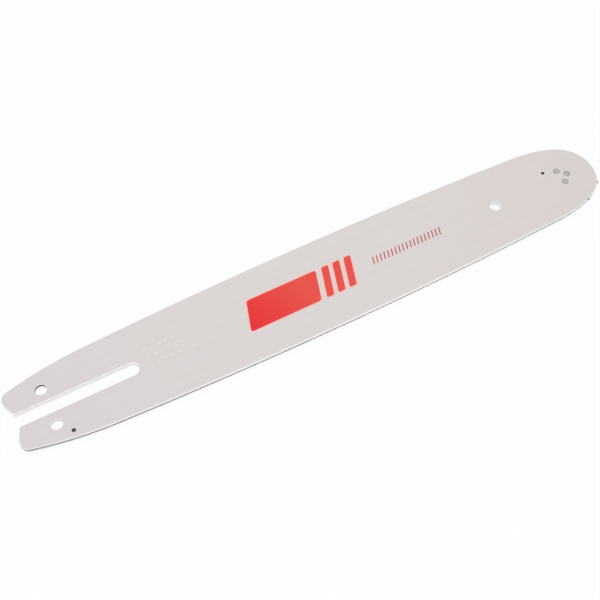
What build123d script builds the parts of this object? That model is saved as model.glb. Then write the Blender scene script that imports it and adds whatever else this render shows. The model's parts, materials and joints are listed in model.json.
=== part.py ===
from build123d import *
import math
import os

os.makedirs("parts", exist_ok=True)

# Overall size of the bar, tail end to nose rim, in millimetres
bar_length = 388.5
bar_width = 60.2
plate_thickness = 1.35
groove_width = 1.3
groove_depth = 5.8
edge_break = 0.25

# Outline of the side plates
nose_radius = 22.75
nose_arc_angle = 65
shoulder_setback = 18.5
shoulder_width = 53.7
waist_width = 53
tail_taper_length = 51.5
tail_width = 36.6
tail_corner_radius = 5

# Tail end, where the bar is clamped on its studs
slot_width = 8.6
slot_length = 75.5
lead_in_depth = 3.2
lead_in_width = 26
lead_in_radius = 6
slot_lip_bevel = 0.6
tensioner_hole_diameter = 7.2
tensioner_hole_spacing = 24.2
tensioner_hole_setback = 21.7
oil_hole_diameter = 2.6
oil_hole_setback = 29.4
oil_hole_land = 0.3

# Holes near the nose
hanging_hole_diameter = 7.6
hanging_hole_setback = 49.6
grease_hole_diameter = 2.2
grease_hole_angle = 139

# Nose bearing: fixed race, full ring of rollers, sprocket bore
roller_circle_radius = 11.35
roller_diameter = 4
roller_gap = 0.15
bearing_clearance = 0.06
side_clearance = 0.06

# Nose sprocket
tooth_count = 9
tooth_rest_angle = 2.7
tooth_reach = 0.85
tooth_tip_width = 2
tooth_tip_bevel = 0.3
rim_thickness = 3
gullet_radius = 4.4
pocket_clearance = 0.9

# Rivets that clamp the race between the plates
rivet_count = 3
rivet_circle_radius = 4.75
rivet_shank_diameter = 4.3
rivet_head_diameter = 4.7
rivet_head_angle = 90
rivet_fit = 0.03

# Places worked out from the sizes above
bar_thickness = 2 * plate_thickness + groove_width
tooth_tip_radius = nose_radius + tooth_reach
overall_length = bar_length + tooth_reach
tail_x = -overall_length / 2
nose_x = overall_length / 2 - tooth_tip_radius
core_z = plate_thickness
running_z = core_z + side_clearance
running_thickness = groove_width - 2 * side_clearance
race_radius = roller_circle_radius - roller_diameter / 2 - bearing_clearance
bore_radius = roller_circle_radius + roller_diameter / 2 + bearing_clearance
root_radius = bore_radius + rim_thickness
roller_pitch_angle = 2 * math.asin((roller_diameter + roller_gap) / (2 * roller_circle_radius))
roller_count = int(2 * math.pi / roller_pitch_angle)


# Places of the rivets about the nose centre, spread over its front half
def rivet_spots():
    return PolarLocations(rivet_circle_radius, rivet_count, -90, 180, endpoint=True)


# Bowed side and tapered tail on the bar's left, drawn in from its edge by the inset
def edge_arcs(inset):
    shoulder = Vector(nose_x - shoulder_setback, shoulder_width / 2 - inset)
    waist = Vector(tail_x + tail_taper_length, waist_width / 2 - inset)
    belly = Vector((shoulder.X + waist.X) / 2, bar_width / 2 - inset)
    side = ThreePointArc(shoulder, belly, waist)
    tail = TangentArc(waist, (tail_x, tail_width / 2 - inset), tangent=side % 1)
    return side, tail


# Whole band from nose to tail, drawn in from the bar's edge by the inset
def bar_band(inset):
    side, tail = edge_arcs(inset)
    with BuildSketch() as band:
        with BuildLine():
            nose = CenterArc((nose_x, 0), nose_radius - inset, 0, nose_arc_angle)
            Spline(nose @ 1, side @ 0, tangents=(nose % 1, side % 0))
            add(side)
            add(tail)
            Polyline(tail @ 1, (tail_x, 0), nose @ 0)
        make_face()
        mirror(about=Plane.XZ)
    return band.sketch


# Places of the two tensioner holes, one on each side of the stud slot
def tensioner_spots():
    return GridLocations(0, tensioner_hole_spacing, 1, 2)


# Middle of the oil hole, just outside the foot of the groove on the bar's left
def oil_hole_spot():
    foot = edge_arcs(groove_depth)[1]
    share = 1 - oil_hole_setback / foot.length
    outward = (foot % share).rotate(Axis.Z, -90)
    return foot @ share + outward * (oil_hole_diameter / 2 + oil_hole_land)


# Corner radius of the tail, limited by the flat end left beside the rounded lead-in
def tail_corner_fit():
    lead_in_turn = math.atan2(lead_in_depth, (lead_in_width - slot_width) / 2)
    tail_end = (tail_width - lead_in_width) / 2 - lead_in_radius * math.tan(lead_in_turn / 2)
    corner_turn = math.radians((edge_arcs(0)[1] % 1).get_angle(Vector(0, -1)))
    return min(tail_corner_radius, (tail_end - edge_break) / math.tan(corner_turn / 2))


plate_band = bar_band(0)
core_band = bar_band(groove_depth)
oil_hole = oil_hole_spot()


# Flared mouth and stud slot, cut through all three plates from the tail
with BuildSketch() as stud_slot:
    slot_end_x = tail_x + slot_length - slot_width / 2
    with BuildLine():
        Polyline(
            (tail_x - lead_in_depth, lead_in_width / 2),
            (tail_x, lead_in_width / 2),
            (tail_x + lead_in_depth, slot_width / 2),
            (slot_end_x, slot_width / 2),
        )
        Line((tail_x - lead_in_depth, 0), (tail_x - lead_in_depth, lead_in_width / 2))
        ThreePointArc(
            (slot_end_x, slot_width / 2),
            (slot_end_x + slot_width / 2 * math.sqrt(0.5), slot_width / 2 * math.sqrt(0.5)),
            (slot_end_x + slot_width / 2, 0),
        )
        Line((slot_end_x + slot_width / 2, 0), (tail_x - lead_in_depth, 0))
    make_face()
    mirror(about=Plane.XZ)
    chamfer(vertices().group_by(Axis.X)[2], slot_lip_bevel)

# Holes that pass through all three plates
with BuildSketch() as through_holes:
    with Locations((tail_x + tensioner_hole_setback, 0)):
        with tensioner_spots():
            Circle(tensioner_hole_diameter / 2)
    with Locations((nose_x - hanging_hole_setback, 0)):
        Circle(hanging_hole_diameter / 2)

# Upper side plate
with BuildPart() as upper_side_plate:
    with BuildSketch(Plane.XY.offset(bar_thickness - plate_thickness)):
        add(plate_band)
        add(stud_slot.sketch, mode=Mode.SUBTRACT)
        lead_in_corners = vertices().group_by(Axis.X)[0].sort_by(lambda vertex: abs(vertex.Y))[:2]
        fillet(lead_in_corners, lead_in_radius)
        outer_corners = vertices().group_by(Axis.X)[0].sort_by(lambda vertex: abs(vertex.Y))[-2:]
        fillet(outer_corners, tail_corner_fit())
        add(through_holes.sketch, mode=Mode.SUBTRACT)
        with Locations((oil_hole.X, -oil_hole.Y)):
            Circle(oil_hole_diameter / 2, mode=Mode.SUBTRACT)
        with Locations((nose_x, 0)):
            with PolarLocations(roller_circle_radius, 1, grease_hole_angle):
                Circle(grease_hole_diameter / 2, mode=Mode.SUBTRACT)
    extrude(amount=plate_thickness)
    outer_rim = faces().sort_by(Axis.Z)[-1].outer_wire().edges()
    chamfer(outer_rim, edge_break)
    with Locations((nose_x, 0, bar_thickness)):
        with rivet_spots():
            CounterSinkHole(
                rivet_shank_diameter / 2 + rivet_fit,
                rivet_head_diameter / 2 + rivet_fit,
                plate_thickness,
                rivet_head_angle,
            )
upper_side_plate.part.label = "upper_side_plate"
export_step(upper_side_plate.part, "parts/upper_side_plate.step")

# Lower side plate, the same plate turned half a turn about the bar's long axis
with BuildPart() as lower_side_plate:
    with Locations(Location((0, 0, bar_thickness), (180, 0, 0))):
        add(upper_side_plate.part)
lower_side_plate.part.label = "lower_side_plate"
export_step(lower_side_plate.part, "parts/lower_side_plate.step")

# Core plate, set back by the groove's depth, with a land kept round each tensioner hole
with BuildPart() as core_plate:
    with BuildSketch(Plane.XY.offset(core_z)):
        add(core_band)
        with Locations((tail_x + tensioner_hole_setback, 0)):
            with tensioner_spots():
                Circle(tensioner_hole_diameter / 2 + groove_width)
        add(stud_slot.sketch, mode=Mode.SUBTRACT)
        add(through_holes.sketch, mode=Mode.SUBTRACT)
        with Locations((nose_x, 0)):
            Circle(tooth_tip_radius + pocket_clearance, mode=Mode.SUBTRACT)
    extrude(amount=groove_width)
core_plate.part.label = "core_plate"
export_step(core_plate.part, "parts/core_plate.step")

# One gullet of the sprocket, round at its foot and open past the tooth tips
with BuildSketch() as gullet:
    tooth_pitch_angle = 360 / tooth_count
    tip_half_angle = math.degrees(math.asin(tooth_tip_width / (2 * tooth_tip_radius)))
    mouth_half_angle = tooth_pitch_angle / 2 - tip_half_angle
    mouth_corner = Vector(tooth_tip_radius, 0).rotate(Axis.Z, mouth_half_angle)
    mouth_apex = Vector(tooth_tip_radius / math.cos(math.radians(mouth_half_angle)), 0)
    with BuildLine():
        CenterArc((root_radius + gullet_radius, 0), gullet_radius, 0, 360)
        Polyline(mouth_corner, mouth_apex, (mouth_corner.X, -mouth_corner.Y))
    make_hull()

# Nose sprocket, at rest with its first tooth just past the bar's centre line
with BuildPart() as nose_sprocket:
    with BuildSketch(Plane((nose_x, 0, running_z))):
        Circle(tooth_tip_radius)
        with PolarLocations(0, tooth_count, tooth_pitch_angle / 2 + tooth_rest_angle):
            add(gullet.sketch, mode=Mode.SUBTRACT)
        chamfer(vertices().group_by(SortBy.DISTANCE)[-1], tooth_tip_bevel)
        Circle(bore_radius, mode=Mode.SUBTRACT)
    extrude(amount=running_thickness)
nose_sprocket.part.label = "nose_sprocket"
export_step(nose_sprocket.part, "parts/nose_sprocket.step")

# Inner race of the nose bearing, clamped between the plates
with BuildPart() as bearing_inner_race:
    with BuildSketch(Plane((nose_x, 0, core_z))):
        Circle(race_radius)
        with rivet_spots():
            Circle(rivet_shank_diameter / 2 + rivet_fit, mode=Mode.SUBTRACT)
    extrude(amount=groove_width)
bearing_inner_race.part.label = "bearing_inner_race"
export_step(bearing_inner_race.part, "parts/bearing_inner_race.step")

# Bearing rollers, a full ring with no cage
for number in range(roller_count):
    roller_axis = Vector(roller_circle_radius, 0).rotate(Axis.Z, number * 360 / roller_count)
    with BuildPart() as roller:
        with BuildSketch(Plane((nose_x + roller_axis.X, roller_axis.Y, running_z))):
            Circle(roller_diameter / 2)
        extrude(amount=running_thickness)
    roller.part.label = f"roller_{number + 1:02d}"
    export_step(roller.part, f"parts/{roller.part.label}.step")

# One rivet, with its two heads spun flush into the plates
with BuildPart() as rivet:
    shank_radius = rivet_shank_diameter / 2
    head_radius = rivet_head_diameter / 2
    head_depth = (head_radius - shank_radius) / math.tan(math.radians(rivet_head_angle / 2))
    with BuildSketch(Plane.XZ):
        with BuildLine():
            Polyline(
                (0, 0),
                (head_radius, 0),
                (shank_radius, head_depth),
                (shank_radius, bar_thickness - head_depth),
                (head_radius, bar_thickness),
                (0, bar_thickness),
                close=True,
            )
        make_face()
    revolve(axis=Axis.Z)

# Three rivets through plates and race
with BuildPart() as nose_rivets:
    with Locations((nose_x, 0, 0)):
        with rivet_spots():
            add(rivet.part)
nose_rivets.part.label = "nose_rivets"
export_step(nose_rivets.part, "parts/nose_rivets.step")
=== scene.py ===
import bmesh
import bpy
import json
import math
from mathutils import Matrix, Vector


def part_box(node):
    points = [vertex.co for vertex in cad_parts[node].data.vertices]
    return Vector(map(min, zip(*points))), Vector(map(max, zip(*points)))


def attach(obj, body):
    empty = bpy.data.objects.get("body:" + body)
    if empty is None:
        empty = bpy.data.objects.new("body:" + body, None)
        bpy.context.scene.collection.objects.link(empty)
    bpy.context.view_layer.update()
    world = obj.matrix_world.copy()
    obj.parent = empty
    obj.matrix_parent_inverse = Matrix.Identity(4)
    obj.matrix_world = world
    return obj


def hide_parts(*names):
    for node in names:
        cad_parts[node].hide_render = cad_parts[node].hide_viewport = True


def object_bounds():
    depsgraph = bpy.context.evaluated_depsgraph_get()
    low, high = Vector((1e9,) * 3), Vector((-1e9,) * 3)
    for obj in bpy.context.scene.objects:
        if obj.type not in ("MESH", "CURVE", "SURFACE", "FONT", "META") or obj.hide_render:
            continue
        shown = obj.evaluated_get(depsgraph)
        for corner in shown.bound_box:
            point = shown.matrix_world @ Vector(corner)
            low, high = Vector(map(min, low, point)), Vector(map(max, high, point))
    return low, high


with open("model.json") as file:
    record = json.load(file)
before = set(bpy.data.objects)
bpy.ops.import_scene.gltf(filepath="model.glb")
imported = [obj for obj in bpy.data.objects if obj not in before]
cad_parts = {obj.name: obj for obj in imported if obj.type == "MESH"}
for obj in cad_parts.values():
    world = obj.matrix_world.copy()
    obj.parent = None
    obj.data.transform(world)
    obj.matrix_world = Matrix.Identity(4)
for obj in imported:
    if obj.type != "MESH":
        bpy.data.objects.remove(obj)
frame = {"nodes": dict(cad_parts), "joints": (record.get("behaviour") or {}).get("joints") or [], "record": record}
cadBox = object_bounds()
scene = bpy.context.scene
scene.view_settings.view_transform = "Standard"

mm = 0.001
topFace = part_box("upper_side_plate")[1].z
noseCentre = next(Vector(joint["pos_m"]) for joint in frame["joints"] if joint["name"] == "sprocket_spin")
mountPlaces = {mount["name"]: Vector(mount["pos_m"]) for mount in frame["record"]["mounts"]}
white = (1.0, 1.0, 1.0)
rising, falling = (0.0, 1.0), (1.0, 0.0)
noiseSpan = (0.3, 0.7)  # most of a noise's values lie here
wideSpan = (0.25, 0.75)
print("frame loaded:", len(frame["nodes"]), "nodes")


def put(tree, kind, inputs=None, **settings):  # one node, with its settings, values and links
    node = tree.nodes.new(kind)
    for key, value in settings.items():
        setattr(node, key, value)
    for key, value in (inputs or {}).items():
        if isinstance(value, bpy.types.NodeSocket):
            tree.links.new(value, node.inputs[key])
        else:
            node.inputs[key].default_value = value
    return node


def calculate(tree, operation, *values):
    return put(tree, "ShaderNodeMath", dict(enumerate(values)), operation=operation).outputs[0]


def calculateVector(tree, operation, *values):
    return put(tree, "ShaderNodeVectorMath", dict(enumerate(values)), operation=operation).outputs


def remap(tree, value, span, result):  # carries a value from one span to another, and stops at its ends
    ends = {"From Min": span[0], "From Max": span[1], "To Min": result[0], "To Max": result[1]}
    return put(tree, "ShaderNodeMapRange", {"Value": value, **ends}).outputs["Result"]


def mixValue(tree, factor, first, second):
    return put(tree, "ShaderNodeMix", {0: factor, 2: first, 3: second}).outputs[0]


def rgba(colour):  # a written colour gets its alpha, and a socket stays
    return (*colour, 1.0) if isinstance(colour, tuple) else colour


def mixColour(tree, factor, first, second, blend="MIX"):
    colours = {6: rgba(first), 7: rgba(second)}
    return put(tree, "ShaderNodeMix", {0: factor, **colours}, data_type="RGBA", blend_type=blend).outputs[2]


def shade(tree, colour, value):  # a colour made lighter or darker
    tone = put(tree, "ShaderNodeCombineColor", {0: value, 1: value, 2: value}).outputs[0]
    return mixColour(tree, 1.0, colour, tone, "MULTIPLY")


def objectPlace(tree):  # X, Y and Z of the shaded point in the bar's frame
    place = put(tree, "ShaderNodeTexCoord").outputs["Object"]
    return put(tree, "ShaderNodeSeparateXYZ", {0: place}).outputs


def shaderGroup(name, inputs, outputs):  # an empty group with float sockets
    tree = bpy.data.node_groups.new(name, "ShaderNodeTree")
    for labels, way in ((inputs, "INPUT"), (outputs, "OUTPUT")):
        for label in labels:
            tree.interface.new_socket(name=label, in_out=way, socket_type="NodeSocketFloat")
    return tree, tree.nodes.new("NodeGroupInput").outputs, tree.nodes.new("NodeGroupOutput").inputs


grainLayers = {
    "Height": {"Scale": 1.0, "Detail": 3.0, "Roughness": 0.7},
    "Streak": {"Scale": 0.15, "Detail": 2.0, "Roughness": 0.6},
}


def makeGroundGrain():  # scratches of the grinding belt, drawn out along the bar
    tree, given, out = shaderGroup("groundGrain", ("Along", "Across"), grainLayers)
    place = put(tree, "ShaderNodeTexCoord").outputs["Object"]
    rates = {"X": given["Along"], "Y": given["Across"], "Z": given["Across"]}
    stretch = put(tree, "ShaderNodeCombineXYZ", rates).outputs[0]
    drawn = calculateVector(tree, "MULTIPLY", place, stretch)[0]
    for label, layer in grainLayers.items():
        noise = put(tree, "ShaderNodeTexNoise", {"Vector": drawn, **layer})
        tree.links.new(noise.outputs[0], out[label])
    return tree


cloudLook = {"Detail": 3.0}


def makeCloudMottle():  # slow, cloudy change of tone
    tree, given, out = shaderGroup("cloudMottle", ("Scale",), ("Cloud",))
    place = put(tree, "ShaderNodeTexCoord").outputs["Object"]
    noise = put(tree, "ShaderNodeTexNoise", {"Vector": place, "Scale": given["Scale"], **cloudLook})
    tree.links.new(remap(tree, noise.outputs[0], noiseSpan, rising), out["Cloud"])
    return tree


edgeLook = {
    "cutSpan": (0.9, 0.99),  # upright share of the normal, from wall to face
    "rubSpan": (0.8, 1.0),  # likeness of rounded and flat normals, from rim to face
    "samples": 6,
}


def makeCutEdge():  # walls and chamfers that a tool has cut, and the rub along their rims
    tree, given, out = shaderGroup("cutEdge", ("Rub Width",), ("Cut", "Rub"))
    normal = put(tree, "ShaderNodeTexCoord").outputs["Normal"]
    upright = calculate(tree, "ABSOLUTE", put(tree, "ShaderNodeSeparateXYZ", {0: normal}).outputs["Z"])
    tree.links.new(remap(tree, upright, edgeLook["cutSpan"], falling), out["Cut"])
    rounded = put(tree, "ShaderNodeBevel", {"Radius": given["Rub Width"]}, samples=edgeLook["samples"])
    flat = put(tree, "ShaderNodeNewGeometry").outputs["Normal"]
    likeness = calculateVector(tree, "DOT_PRODUCT", rounded.outputs[0], flat)["Value"]
    tree.links.new(remap(tree, likeness, edgeLook["rubSpan"], falling), out["Rub"])
    return tree


holeSpotLook = {"fadeSpan": (0.85, 1.0)}  # share of the reach over which the spot fades


def makeHoleSpot():  # a round spot about a hole, the same on both sides of the centre line: oil and grease at their own holes, and a darker tone in the tensioner holes
    tree, given, out = shaderGroup("holeSpot", ("X", "Y", "Reach"), ("Nearness",))
    place = objectPlace(tree)
    along = calculate(tree, "SUBTRACT", place["X"], given["X"])
    across = calculate(tree, "SUBTRACT", calculate(tree, "ABSOLUTE", place["Y"]), given["Y"])
    away = put(tree, "ShaderNodeCombineXYZ", {"X": along, "Y": across}).outputs[0]
    distance = calculateVector(tree, "LENGTH", away)["Value"]
    share = calculate(tree, "DIVIDE", distance, given["Reach"])
    tree.links.new(remap(tree, share, holeSpotLook["fadeSpan"], falling), out["Nearness"])
    return tree


groundGrain = makeGroundGrain()
cloudMottle = makeCloudMottle()
cutEdge = makeCutEdge()
holeSpot = makeHoleSpot()


def useGroup(tree, group, values):
    return put(tree, "ShaderNodeGroup", values, node_tree=group).outputs


def newFinish(name, constants):  # a material with its Principled BSDF, constants set on the shader
    material = bpy.data.materials.new(name)
    material.use_nodes = True
    shader = material.node_tree.nodes["Principled BSDF"].inputs
    for label, value in constants.items():
        shader[label].default_value = value
    return material, material.node_tree, shader


def dress(tree, shader, colour, roughness, height, relief):  # links a finish to its shader
    bump = put(tree, "ShaderNodeBump", {"Height": height, **relief})
    tree.links.new(colour, shader["Base Color"])
    tree.links.new(roughness, shader["Roughness"])
    tree.links.new(bump.outputs[0], shader["Normal"])


steel = {"Metallic": 1.0}
oilHole = {"X": -166.15 * mm, "Y": 20.10 * mm, "Reach": 3.1 * mm}
greaseHole = {"X": 162.51 * mm, "Y": 7.45 * mm, "Reach": 1.9 * mm}
plateLook = {
    "grain": {"Along": 35.0, "Across": 2600.0},
    "mottle": {"Scale": 11.0},
    "edge": {"Rub Width": 0.6 * mm},
    "relief": {"Strength": 0.25, "Distance": 0.02 * mm},
    "tailColour": (0.690, 0.655, 0.651),
    "noseColour": (0.691, 0.642, 0.624),
    "faceRun": (-130.0 * mm, 140.0 * mm),
    "cloudShare": 0.3,
    "streakTone": (0.985, 1.012),
    "scratchTone": (0.965, 1.035),
    "faceRoughness": (0.34, 0.44),
    "railColour": (0.920, 0.915, 0.905),
    "railEndColour": (0.840, 0.830, 0.820),
    "railStart": 17.0 * mm,
    "railTail": (-186.0 * mm, -176.0 * mm),
    "noseStart": 12.0 * mm,
    "tailWear": (-190.0 * mm, -60.0 * mm),
    "noseWear": (105.0 * mm, 160.0 * mm),
    "railRoughness": 0.18,
    "rubShare": 0.7,
    "wallColour": (0.780, 0.755, 0.745),
    # walls of the stud slot: painted light
    "litSlotWallColour": (0.860, 0.845, 0.835),
    "slotEnd": -118.0 * mm,
    "slotReach": 8.0 * mm,
    # inner faces of the groove: painted light, weaker towards the tail
    "grooveLightColour": (0.960, 0.955, 0.945),
    "grooveReach": 0.70 * mm,
    "grooveRoughness": 0.65,
    "grooveTailLightColour": (0.820, 0.805, 0.790),
    "grooveLightRun": (-190.0 * mm, 40.0 * mm),
    "oilColour": (0.540, 0.520, 0.505),
    "grimeColour": (0.250, 0.230, 0.218),
}


def plateFace(tree, look, place, grain):  # satin face, with faint streaks of the grinding belt
    cloud = useGroup(tree, cloudMottle, look["mottle"])["Cloud"]
    drift = mixValue(tree, look["cloudShare"], remap(tree, place["X"], look["faceRun"], rising), cloud)
    streaks = remap(tree, grain["Streak"], noiseSpan, look["streakTone"])
    scratches = remap(tree, grain["Height"], noiseSpan, look["scratchTone"])
    face = mixColour(tree, drift, look["tailColour"], look["noseColour"])
    return shade(tree, face, calculate(tree, "MULTIPLY", streaks, scratches))


def railMask(tree, look, place):  # outer edge and nose, where the chain runs
    outward = calculate(tree, "GREATER_THAN", calculate(tree, "ABSOLUTE", place["Y"]), look["railStart"])
    outward = calculate(tree, "MULTIPLY", outward, remap(tree, place["X"], look["railTail"], rising))
    forward = calculate(tree, "GREATER_THAN", place["X"], noseCentre.x + look["noseStart"])
    return calculate(tree, "MAXIMUM", outward, forward)


def railTone(tree, look, place):  # brightest along the middle, where the chain bears hardest
    fromTail = remap(tree, place["X"], look["tailWear"], rising)
    toNose = remap(tree, place["X"], look["noseWear"], falling)
    worn = calculate(tree, "MULTIPLY", fromTail, toNose)
    return mixColour(tree, worn, look["railEndColour"], look["railColour"])


def slotLightMask(tree, look, place):  # stud slot, whose walls are painted lighter than the walls of the holes: painted light, as the open slot takes more light than the narrow holes
    beside = calculate(tree, "LESS_THAN", calculate(tree, "ABSOLUTE", place["Y"]), look["slotReach"])
    behind = calculate(tree, "LESS_THAN", place["X"], look["slotEnd"])
    return calculate(tree, "MULTIPLY", beside, behind)


def makePlateSteel():
    look = plateLook
    material, tree, shader = newFinish("plateSteel", steel)
    grain = useGroup(tree, groundGrain, look["grain"])
    edge = useGroup(tree, cutEdge, look["edge"])
    place = objectPlace(tree)
    # face and cut walls, with bright rails that rub over onto the face
    rail = railMask(tree, look, place)
    bright = railTone(tree, look, place)
    rub = calculate(tree, "MULTIPLY", calculate(tree, "MULTIPLY", edge["Rub"], rail), look["rubShare"])
    face = mixColour(tree, rub, plateFace(tree, look, place, grain), bright)
    # the slot's walls take painted light
    wall = mixColour(tree, slotLightMask(tree, look, place), look["wallColour"], look["litSlotWallColour"])
    metal = mixColour(tree, edge["Cut"], face, mixColour(tree, rail, wall, bright))
    # inner faces that line the groove, painted lighter than the walls: painted light, standing in for light that
    # reaches into the groove
    offMiddle = calculate(tree, "ABSOLUTE", calculate(tree, "SUBTRACT", place["Z"], topFace / 2))
    inner = calculate(tree, "LESS_THAN", offMiddle, look["grooveReach"])
    along = remap(tree, place["X"], look["grooveLightRun"], rising)  # the painted light is weaker towards the tail
    groove = mixColour(tree, along, look["grooveTailLightColour"], look["grooveLightColour"])
    metal = mixColour(tree, inner, metal, groove)
    # oil and grease inside their holes
    inside = calculate(tree, "MAXIMUM", edge["Cut"], inner)
    for hole, colour in ((oilHole, look["oilColour"]), (greaseHole, look["grimeColour"])):
        grime = useGroup(tree, holeSpot, hole)["Nearness"]
        metal = mixColour(tree, calculate(tree, "MULTIPLY", grime, inside), metal, colour)
    roughness = remap(tree, grain["Streak"], wideSpan, look["faceRoughness"])
    roughness = mixValue(tree, edge["Cut"], roughness, look["railRoughness"])
    roughness = mixValue(tree, inner, roughness, look["grooveRoughness"])
    dress(tree, shader, metal, roughness, grain["Height"], look["relief"])
    return material


plainLook = {  # what core, sprocket and bearing have in common
    "edge": {"Rub Width": 0.3 * mm},
    "relief": {"Strength": 0.25, "Distance": 0.02 * mm},
    # darker tone inside the tensioner holes, strongest in the left one
    "holeDarkColour": (0.030, 0.026, 0.024),
    "holeDarkReach": 4.2 * mm,
    "holeDarkTurn": (-1.0 * mm, 1.0 * mm),
    "holeDarkShare": (0.12, 1.0),
}
coreLook = {
    **plainLook,
    "colour": (0.74, 0.73, 0.72),
    "mottleColour": (0.80, 0.79, 0.78),
    "wallColour": (0.82, 0.81, 0.80),
    "rubColour": (0.90, 0.90, 0.89),
    "rubShare": 0.5,
    "roughness": (0.32, 0.46),
    "grain": {"Along": 60.0, "Across": 1500.0},
    "mottle": {"Scale": 60.0},
}
sprocketShadeLook = {
    **plainLook,
    # dark faces: painted shade, for the shade on the teeth at the nose
    "colour": (0.25, 0.24, 0.235),
    "mottleColour": (0.30, 0.28, 0.27),
    "wallColour": (0.82, 0.81, 0.80),
    "rubColour": (0.64, 0.63, 0.62),
    "rubShare": 0.25,
    "roughness": (0.28, 0.40),
    "grain": {"Along": 900.0, "Across": 900.0},
    "mottle": {"Scale": 120.0},
}
bearingLook = {
    **plainLook,
    "colour": (0.66, 0.66, 0.67),
    "mottleColour": (0.60, 0.60, 0.61),
    "wallColour": (0.70, 0.70, 0.71),
    "rubColour": (0.85, 0.85, 0.85),
    "rubShare": 0.4,
    "roughness": (0.14, 0.24),
    "grain": {"Along": 1500.0, "Across": 1500.0},
    "mottle": {"Scale": 200.0},
}
greasedLook = {
    **plainLook,
    "colour": (0.250, 0.232, 0.220),
    "mottleColour": (0.300, 0.280, 0.262),
    "wallColour": (0.280, 0.262, 0.245),
    "rubColour": (0.400, 0.385, 0.370),
    "rubShare": 0.3,
    "roughness": (0.20, 0.34),
    "grain": {"Along": 1500.0, "Across": 1500.0},
    "mottle": {"Scale": 420.0},
}


def makePlainSteel(name, look):
    material, tree, shader = newFinish(name, steel)
    grain = useGroup(tree, groundGrain, look["grain"])
    cloud = useGroup(tree, cloudMottle, look["mottle"])["Cloud"]
    edge = useGroup(tree, cutEdge, look["edge"])
    metal = mixColour(tree, cloud, look["colour"], look["mottleColour"])
    metal = mixColour(tree, edge["Cut"], metal, look["wallColour"])
    rub = calculate(tree, "MULTIPLY", edge["Rub"], look["rubShare"])
    metal = mixColour(tree, rub, metal, look["rubColour"])
    # darker tone inside the tensioner holes, near black in the left one and faint in the right one
    hole = mountPlaces["tensioner_hole_left"]
    holeDark = useGroup(tree, holeSpot, {"X": hole.x, "Y": hole.y, "Reach": look["holeDarkReach"]})["Nearness"]
    leftward = remap(tree, objectPlace(tree)["Y"], look["holeDarkTurn"], look["holeDarkShare"])
    metal = mixColour(tree, calculate(tree, "MULTIPLY", holeDark, leftward), metal, look["holeDarkColour"])
    oil = useGroup(tree, holeSpot, oilHole)["Nearness"]
    metal = mixColour(tree, oil, metal, plateLook["oilColour"])
    roughness = remap(tree, grain["Streak"], wideSpan, look["roughness"])
    dress(tree, shader, metal, roughness, grain["Height"], look["relief"])
    return material


plateSteel = makePlateSteel()
coreSteel = makePlainSteel("coreSteel", coreLook)
shadedSprocketSteel = makePlainSteel("shadedSprocketSteel", sprocketShadeLook)
bearingSteel = makePlainSteel("bearingSteel", bearingLook)
greasedSteel = makePlainSteel("greasedSteel", greasedLook)
nodeSteels = {
    "upper_side_plate": plateSteel,
    "lower_side_plate": plateSteel,
    "core_plate": coreSteel,
    "nose_sprocket": shadedSprocketSteel,
    "bearing_inner_race": bearingSteel,
    "nose_rivets": bearingSteel,
}
for nodeName, node in frame["nodes"].items():  # the CAD shapes stay and take their finish
    node.data.materials.clear()
    node.data.materials.append(nodeSteels.get(nodeName, greasedSteel))  # the rest are rollers
print("steel finishes set")


def newObject(name, mesh):
    piece = bpy.data.objects.new(name, mesh)
    scene.collection.objects.link(piece)
    return piece


def closeMesh(name, form):  # a plain mesh with its faces pointing outwards
    bmesh.ops.recalc_face_normals(form, faces=form.faces)
    mesh = bpy.data.meshes.new(name)
    form.to_mesh(mesh)
    form.free()
    return mesh


def nodeTree(name, inputs):  # an empty geometry tree with named inputs
    tree = bpy.data.node_groups.new(name, "GeometryNodeTree")
    tree.interface.new_socket(name="Geometry", in_out="INPUT", socket_type="NodeSocketGeometry")
    for label, kind in inputs.items():
        tree.interface.new_socket(name=label, in_out="INPUT", socket_type="NodeSocket" + kind)
    tree.interface.new_socket(name="Geometry", in_out="OUTPUT", socket_type="NodeSocketGeometry")
    return tree, tree.nodes.new("NodeGroupInput").outputs, tree.nodes.new("NodeGroupOutput").inputs


def grow(piece, tree, values):  # runs the tree on a piece and keeps the result as its plain mesh
    modifier = piece.modifiers.new("grow", "NODES")
    modifier.node_group = tree
    identifiers = {item.name: item.identifier for item in tree.interface.items_tree if item.in_out == "INPUT"}
    for label, value in values.items():
        modifier[identifiers[label]] = value
    graph = bpy.context.evaluated_depsgraph_get()
    grown = bpy.data.meshes.new_from_object(piece.evaluated_get(graph))
    piece.modifiers.remove(modifier)
    piece.data = grown
    grown.name = piece.name
    return piece


def closeTree(tree, out, instances, material):  # instances made real, with their material
    real = put(tree, "GeometryNodeRealizeInstances", {"Geometry": instances})
    painted = put(tree, "GeometryNodeSetMaterial", {"Geometry": real.outputs[0], "Material": material})
    tree.links.new(painted.outputs[0], out["Geometry"])


rivetLook = {
    "count": 3,
    "circleRadius": 4.75 * mm,
    "startAngle": -math.pi / 2,
    "stepAngle": math.pi / 2,
    "headRadius": 2.35 * mm,
    "landRadius": 2.15 * mm,
    "dishRadius": 1.70 * mm,
    "nibRadius": 0.85 * mm,
    "shankRadius": 2.15 * mm,
    "headDepth": 0.20 * mm,
    "edgeDrop": 0.05 * mm,
    "dishDepth": 0.14 * mm,
    "steps": 48,
    "weldGap": 0.001 * mm,
    "dishShadeTones": (  # share of the head's radius, and the colour there: a dark ring on the dish's slope as painted shade, a lighter centre as painted highlight
        (0.36, (0.54, 0.525, 0.515)),
        (0.55, (0.39, 0.38, 0.37)),
        (0.86, (0.47, 0.455, 0.445)),
        (1.0, (0.62, 0.595, 0.585)),
    ),
    "mottle": {"Scale": 700.0},
    "mottleTone": (0.88, 1.06),
    "roughness": (0.26, 0.42),
    "ringRate": 55.0,
    "relief": {"Strength": 0.3, "Distance": 0.02 * mm},
}


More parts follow.
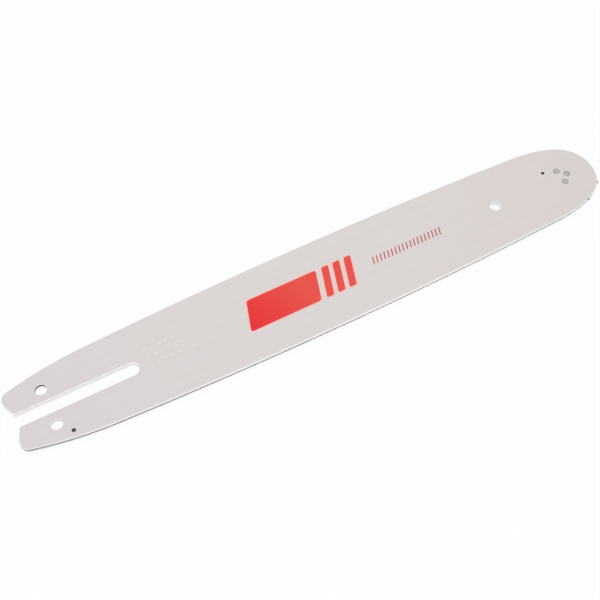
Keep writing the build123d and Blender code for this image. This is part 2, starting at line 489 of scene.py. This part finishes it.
def makeRivetSteel():
    look = rivetLook
    material, tree, shader = newFinish("rivetSteel", steel)
    radial = put(tree, "ShaderNodeAttribute", attribute_name="radial").outputs["Fac"]
    # colour by distance from the rivet's axis: painted shade on the dish's slope, painted highlight at its centre
    ramp = put(tree, "ShaderNodeValToRGB", {"Fac": radial})
    stops = ramp.color_ramp.elements
    innermost, *between, outermost = look["dishShadeTones"]
    for stop, (position, colour) in zip(stops, (innermost, outermost)):
        stop.position = position
        stop.color = rgba(colour)
    for position, colour in between:
        stops.new(position).color = rgba(colour)
    cloud = useGroup(tree, cloudMottle, look["mottle"])["Cloud"]
    metal = shade(tree, ramp.outputs[0], remap(tree, cloud, rising, look["mottleTone"]))
    roughness = remap(tree, cloud, rising, look["roughness"])
    rings = calculate(tree, "SINE", calculate(tree, "MULTIPLY", radial, look["ringRate"]))
    dress(tree, shader, metal, roughness, rings, look["relief"])
    return material


def turnRivet():  # one rivet, turned about its own axis, with both heads spun and dished
    look = rivetLook
    head = [
        (0.0, look["dishDepth"]),
        (look["nibRadius"], look["dishDepth"]),
        (look["dishRadius"], look["edgeDrop"] / 2),
        (look["landRadius"], 0.0),
        (look["headRadius"], look["edgeDrop"]),
        (look["shankRadius"], look["headDepth"]),
    ]
    profile = head + [(radius, topFace - depth) for radius, depth in reversed(head)]
    form = bmesh.new()
    points = [form.verts.new((radius, 0.0, height)) for radius, height in profile]
    edges = [form.edges.new(pair) for pair in zip(points, points[1:])]
    bmesh.ops.spin(
        form, geom=points + edges, cent=(0, 0, 0), axis=(0, 0, 1), angle=math.tau,
        steps=look["steps"], use_merge=True)
    bmesh.ops.remove_doubles(form, verts=form.verts, dist=look["weldGap"])
    return closeMesh("noseRivets", form)


def makeArcTree(material):  # repeats the rivet on an arc about a centre
    sizes = {
        "Count": "Int", "Radius": "Float", "Start": "Float", "Step": "Float", "Centre": "Vector",
        "Head Radius": "Float"}
    tree, given, out = nodeTree("repeatOnArc", sizes)
    place = put(tree, "GeometryNodeInputPosition").outputs[0]
    across = calculateVector(tree, "MULTIPLY", place, (1.0, 1.0, 0.0))[0]  # height left out
    reach = calculateVector(tree, "LENGTH", across)["Value"]
    radial = calculate(tree, "DIVIDE", reach, given["Head Radius"])
    marked = put(tree, "GeometryNodeStoreNamedAttribute", {
        "Geometry": given["Geometry"], "Name": "radial", "Value": radial})
    line = put(tree, "GeometryNodeMeshLine", {"Count": given["Count"]})
    index = put(tree, "GeometryNodeInputIndex").outputs[0]
    angle = calculate(tree, "MULTIPLY_ADD", index, given["Step"], given["Start"])
    forward = calculate(tree, "MULTIPLY", calculate(tree, "COSINE", angle), given["Radius"])
    leftward = calculate(tree, "MULTIPLY", calculate(tree, "SINE", angle), given["Radius"])
    spot = put(tree, "ShaderNodeCombineXYZ", {"X": forward, "Y": leftward}).outputs[0]
    spot = calculateVector(tree, "ADD", spot, given["Centre"])[0]
    spread = put(tree, "GeometryNodeSetPosition", {"Geometry": line.outputs[0], "Position": spot})
    copies = put(tree, "GeometryNodeInstanceOnPoints", {
        "Points": spread.outputs[0], "Instance": marked.outputs[0]})
    closeTree(tree, out, copies.outputs[0], material)
    return tree


noseRivets = grow(newObject("noseRivets", turnRivet()), makeArcTree(makeRivetSteel()), {
    "Count": rivetLook["count"],
    "Radius": rivetLook["circleRadius"],
    "Start": rivetLook["startAngle"],
    "Step": rivetLook["stepAngle"],
    "Centre": (noseCentre.x, noseCentre.y, 0.0),
    "Head Radius": rivetLook["headRadius"],
})
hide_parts("nose_rivets")
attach(noseRivets, "bar")
print("rivets spun:", len(noseRivets.data.polygons), "faces")


inkLook = {
    "surface": {"Metallic": 0.0, "IOR": 1.45, "Specular IOR Level": 0.25},
    "thickness": 0.02 * mm,
    "cornerSteps": 6,
    "mottle": {"Scale": 26.0},
    "grain": {"Along": 300.0, "Across": 2600.0},
    "relief": {"Strength": 0.15, "Distance": 0.01 * mm},
    "speckleTone": (0.95, 1.04),
    "cloudShare": 0.25,
    # span along the bar over which the painted sheen on the red ink comes in
    "sheenRun": (-56.0 * mm, -12.0 * mm),
}
inkColours = {
    "redInk": {
        "colour": (0.820, 0.006, 0.022),
        # orange towards the nose: painted sheen
        "noseColour": (0.820, 0.092, 0.067),
        "roughness": (0.34, 0.44),
    },
    "crimsonInk": {"colour": (0.540, 0.105, 0.122), "roughness": (0.34, 0.44)},
    "paleInk": {"colour": (0.900, 0.580, 0.550), "roughness": (0.38, 0.48)},
    "etchedMark": {"colour": (0.770, 0.735, 0.710), "roughness": (0.50, 0.60)},
}


def makeInk(name, ink):  # a print, whose colour may change towards the nose: on the red ink this change is a painted sheen
    look = inkLook
    material, tree, shader = newFinish(name, look["surface"])
    cloud = useGroup(tree, cloudMottle, look["mottle"])["Cloud"]
    grain = useGroup(tree, groundGrain, look["grain"])
    along = remap(tree, objectPlace(tree)["X"], look["sheenRun"], rising)
    drift = mixValue(tree, look["cloudShare"], along, cloud)
    colour = mixColour(tree, drift, ink["colour"], ink.get("noseColour", ink["colour"]))
    colour = shade(tree, colour, remap(tree, grain["Height"], noiseSpan, look["speckleTone"]))
    roughness = remap(tree, cloud, rising, ink["roughness"])
    dress(tree, shader, colour, roughness, grain["Height"], look["relief"])
    return material


inks = {name: makeInk(name, ink) for name, ink in inkColours.items()}


def slantedField(name, width, height, lean, radius, thickness):  # a thin slanted field about the origin
    form = bmesh.new()
    corners = [(-1, -1), (1, -1), (1, 1), (-1, 1)]
    ring = [form.verts.new((x * width / 2 + y * lean / 2, y * height / 2, 0.0)) for x, y in corners]
    base = form.faces.new(ring)
    lifted = bmesh.ops.extrude_face_region(form, geom=[base])["geom"]
    for vertex in lifted:
        if isinstance(vertex, bmesh.types.BMVert):
            vertex.co.z = thickness
    upright = [edge for edge in form.edges if abs(edge.verts[0].co.z - edge.verts[1].co.z) > thickness / 2]
    bmesh.ops.bevel(
        form, geom=upright, offset=radius, segments=inkLook["cornerSteps"], affect="EDGES",
        profile=0.5)  # a half is a round corner
    return closeMesh(name, form)


def makeGridTree(name, material):  # repeats the piece in rows, each copy's length drawn at random
    sizes = {
        "Columns": "Int", "Rows": "Int", "Column Pitch": "Float", "Row Pitch": "Float",
        "Start": "Vector", "Shortest": "Float", "Seed": "Int"}
    tree, given, out = nodeTree(name, sizes)
    columnStep = put(tree, "ShaderNodeCombineXYZ", {"X": given["Column Pitch"]}).outputs[0]
    rowStep = put(tree, "ShaderNodeCombineXYZ", {"Y": given["Row Pitch"]}).outputs[0]
    columns = put(tree, "GeometryNodeMeshLine", {"Count": given["Columns"], "Offset": columnStep})
    rows = put(tree, "GeometryNodeMeshLine", {
        "Count": given["Rows"], "Start Location": given["Start"], "Offset": rowStep})
    lines = put(tree, "GeometryNodeInstanceOnPoints", {
        "Points": rows.outputs[0], "Instance": columns.outputs[0]})
    spots = put(tree, "GeometryNodeRealizeInstances", {"Geometry": lines.outputs[0]})
    length = put(tree, "FunctionNodeRandomValue", {
        "Min": given["Shortest"], "Max": 1.0, "Seed": given["Seed"]}, data_type="FLOAT")
    scale = put(tree, "ShaderNodeCombineXYZ", {"X": length.outputs[1], "Y": 1.0, "Z": 1.0}).outputs[0]
    copies = put(tree, "GeometryNodeInstanceOnPoints", {
        "Points": spots.outputs[0], "Instance": given["Geometry"], "Scale": scale})
    closeTree(tree, out, copies.outputs[0], material)
    return tree


def printMarks(name, look, ink):  # rows of like marks, printed on the upper face
    mark = slantedField(
        name, look["width"] + 2 * look["grow"], look["height"] + 2 * look["grow"], look["lean"],
        look["radius"] + look["grow"], inkLook["thickness"] * look["layer"])
    piece = grow(newObject(name, mark), makeGridTree(name + "Rows", inks[ink]), {
        "Columns": look["columns"],
        "Rows": look["rows"],
        "Column Pitch": look["columnPitch"],
        "Row Pitch": look["rowPitch"],
        "Start": (look["startX"], look["startY"], topFace),
        "Shortest": look["shortest"],
        "Seed": look["seed"],
    })
    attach(piece, "bar")
    print("printed:", name)


plainRow = {"rows": 1, "rowPitch": 0.0, "startY": 0.0, "shortest": 1.0, "seed": 0, "grow": 0.0, "layer": 2}
edging = {"grow": 0.9 * mm, "layer": 1}
bandLook = {
    **plainRow,
    "width": 46.0 * mm,
    "height": 20.4 * mm,
    "lean": 7.0 * mm,
    "radius": 1.6 * mm,
    "columns": 1,
    "columnPitch": 0.0,
    "startX": -27.0 * mm,
}
slashLook = {
    **plainRow,
    "width": 4.6 * mm,
    "height": 20.4 * mm,
    "lean": 7.0 * mm,
    "radius": 1.0 * mm,
    "columns": 3,
    "columnPitch": 7.6 * mm,
    "startX": 2.2 * mm,
}
dashLook = {
    **plainRow,
    "width": 0.8 * mm,
    "height": 5.2 * mm,
    "lean": 1.8 * mm,
    "radius": 0.25 * mm,
    "columns": 19,
    "columnPitch": 2.6 * mm,
    "startX": 33.6 * mm,
}
etchLook = {
    **plainRow,
    "width": 3.4 * mm,
    "height": 1.1 * mm,
    "lean": 0.0,
    "radius": 0.2 * mm,
    "columns": 7,
    "columnPitch": 4.3 * mm,
    "rows": 3,
    "rowPitch": -5.0 * mm,
    "startX": -112.0 * mm,
    "startY": 8.0 * mm,
    "shortest": 0.35,
    "seed": 4,
    "layer": 1,
}

printMarks("bandEdging", {**bandLook, **edging}, "paleInk")
printMarks("bandField", bandLook, "redInk")
printMarks("slashEdging", {**slashLook, **edging}, "paleInk")
printMarks("slashField", slashLook, "redInk")
printMarks("dashRow", dashLook, "crimsonInk")
printMarks("etchedMarks", etchLook, "etchedMark")


floorLook = {
    "halfSide": 30.0,
    "drop": 0.05 * mm,
    "colour": (0.93, 0.93, 0.93),
    "glow": 0.92,
}


def makeFloorPaint():  # pale floor that shows white and keeps a soft shadow, open from below
    material = bpy.data.materials.new("floorPaint")
    material.use_nodes = True
    tree = material.node_tree
    tree.nodes.clear()
    path = put(tree, "ShaderNodeLightPath").outputs
    mirrored = calculate(tree, "ADD", path["Is Glossy Ray"], path["Is Transmission Ray"])
    seen = calculate(tree, "MINIMUM", calculate(tree, "ADD", path["Is Camera Ray"], mirrored), 1.0)
    share = calculate(tree, "MULTIPLY", seen, floorLook["glow"])
    paint = put(tree, "ShaderNodeBsdfDiffuse", {"Color": rgba(floorLook["colour"])})
    glow = put(tree, "ShaderNodeEmission", {"Color": rgba(white), "Strength": 1.0})
    shown = put(tree, "ShaderNodeMixShader", {0: share, 1: paint.outputs[0], 2: glow.outputs[0]})
    clear = put(tree, "ShaderNodeBsdfTransparent")
    below = put(tree, "ShaderNodeNewGeometry").outputs["Backfacing"]
    sided = put(tree, "ShaderNodeMixShader", {0: below, 1: shown.outputs[0], 2: clear.outputs[0]})
    put(tree, "ShaderNodeOutputMaterial", {"Surface": sided.outputs[0]})
    return material


def makeFloor():
    side = floorLook["halfSide"]
    level = cadBox[0][2] - floorLook["drop"]
    mesh = bpy.data.meshes.new("studioFloor")
    corners = [(-side, -side, level), (side, -side, level), (side, side, level), (-side, side, level)]
    mesh.from_pydata(corners, [], [(0, 1, 2, 3)])
    mesh.materials.append(makeFloorPaint())
    floor = newObject("studioFloor", mesh)


lightLook = {
    "horizon": 0.90,
    "zenith": 0.98,
    "zenithHeight": 0.7,
    "mirroredWhite": 0.5,  # how far the metal sees the sky as white
    "softboxes": {
        "keySoftbox": {"place": (0.5, 1.1, 1.5), "size": 1.4, "power": 0.6},
        "sideSoftbox": {"place": (-1.6, -0.5, 1.0), "size": 1.0, "power": 0.5},
    },
}


def makeStudioSky():  # white to the eye, near white in the metal, and a soft gradient as light
    world = bpy.data.worlds.new("studioSky")
    scene.world = world
    world.use_nodes = True
    tree = world.node_tree
    tree.nodes.clear()
    around = put(tree, "ShaderNodeTexCoord").outputs["Generated"]
    height = put(tree, "ShaderNodeSeparateXYZ", {0: around}).outputs["Z"]
    tone = remap(tree, height, (0.0, lightLook["zenithHeight"]), (lightLook["horizon"], lightLook["zenith"]))
    path = put(tree, "ShaderNodeLightPath").outputs
    seen = calculate(tree, "ADD", path["Is Camera Ray"], path["Is Transmission Ray"])
    seen = calculate(tree, "MULTIPLY_ADD", path["Is Glossy Ray"], lightLook["mirroredWhite"], seen)
    strength = mixValue(tree, calculate(tree, "MINIMUM", seen, 1.0), tone, 1.0)
    sky = put(tree, "ShaderNodeBackground", {"Color": rgba(white), "Strength": strength})
    put(tree, "ShaderNodeOutputWorld", {"Surface": sky.outputs[0]})


def makeSoftbox(name, look):
    lamp = bpy.data.lights.new(name, "AREA")
    lamp.shape = "SQUARE"
    lamp.size = look["size"]
    lamp.energy = look["power"]
    softbox = bpy.data.objects.new(name, lamp)
    softbox.location = look["place"]
    softbox.rotation_euler = (-Vector(look["place"])).to_track_quat("-Z", "Y").to_euler()
    scene.collection.objects.link(softbox)


makeFloor()
makeStudioSky()
for softboxName, softboxLook in lightLook["softboxes"].items():
    makeSoftbox(softboxName, softboxLook)
print("floor and studio light set")


cameraLook = {
    "aim": (-18.60 * mm, -4.10 * mm, 4.0 * mm),
    "distance": 627.7 * mm,
    "elevation": 56.25,
    "azimuth": 28.49,
    "lens": 64.56,
    "sensor": 36.0,
    "clipStart": 10.0 * mm,
}


def makeCamera():
    rise = math.radians(cameraLook["elevation"])
    turn = math.radians(cameraLook["azimuth"])
    sight = Vector((math.sin(turn) * math.cos(rise), math.cos(turn) * math.cos(rise), -math.sin(rise)))
    lens = bpy.data.cameras.new("photoCamera")
    lens.sensor_width = cameraLook["sensor"]
    lens.lens = cameraLook["lens"]
    lens.clip_start = cameraLook["clipStart"]
    camera = bpy.data.objects.new("photoCamera", lens)
    camera.location = Vector(cameraLook["aim"]) - sight * cameraLook["distance"]
    camera.rotation_euler = sight.to_track_quat("-Z", "Y").to_euler()
    scene.collection.objects.link(camera)
    scene.camera = camera


makeCamera()
print("camera placed")
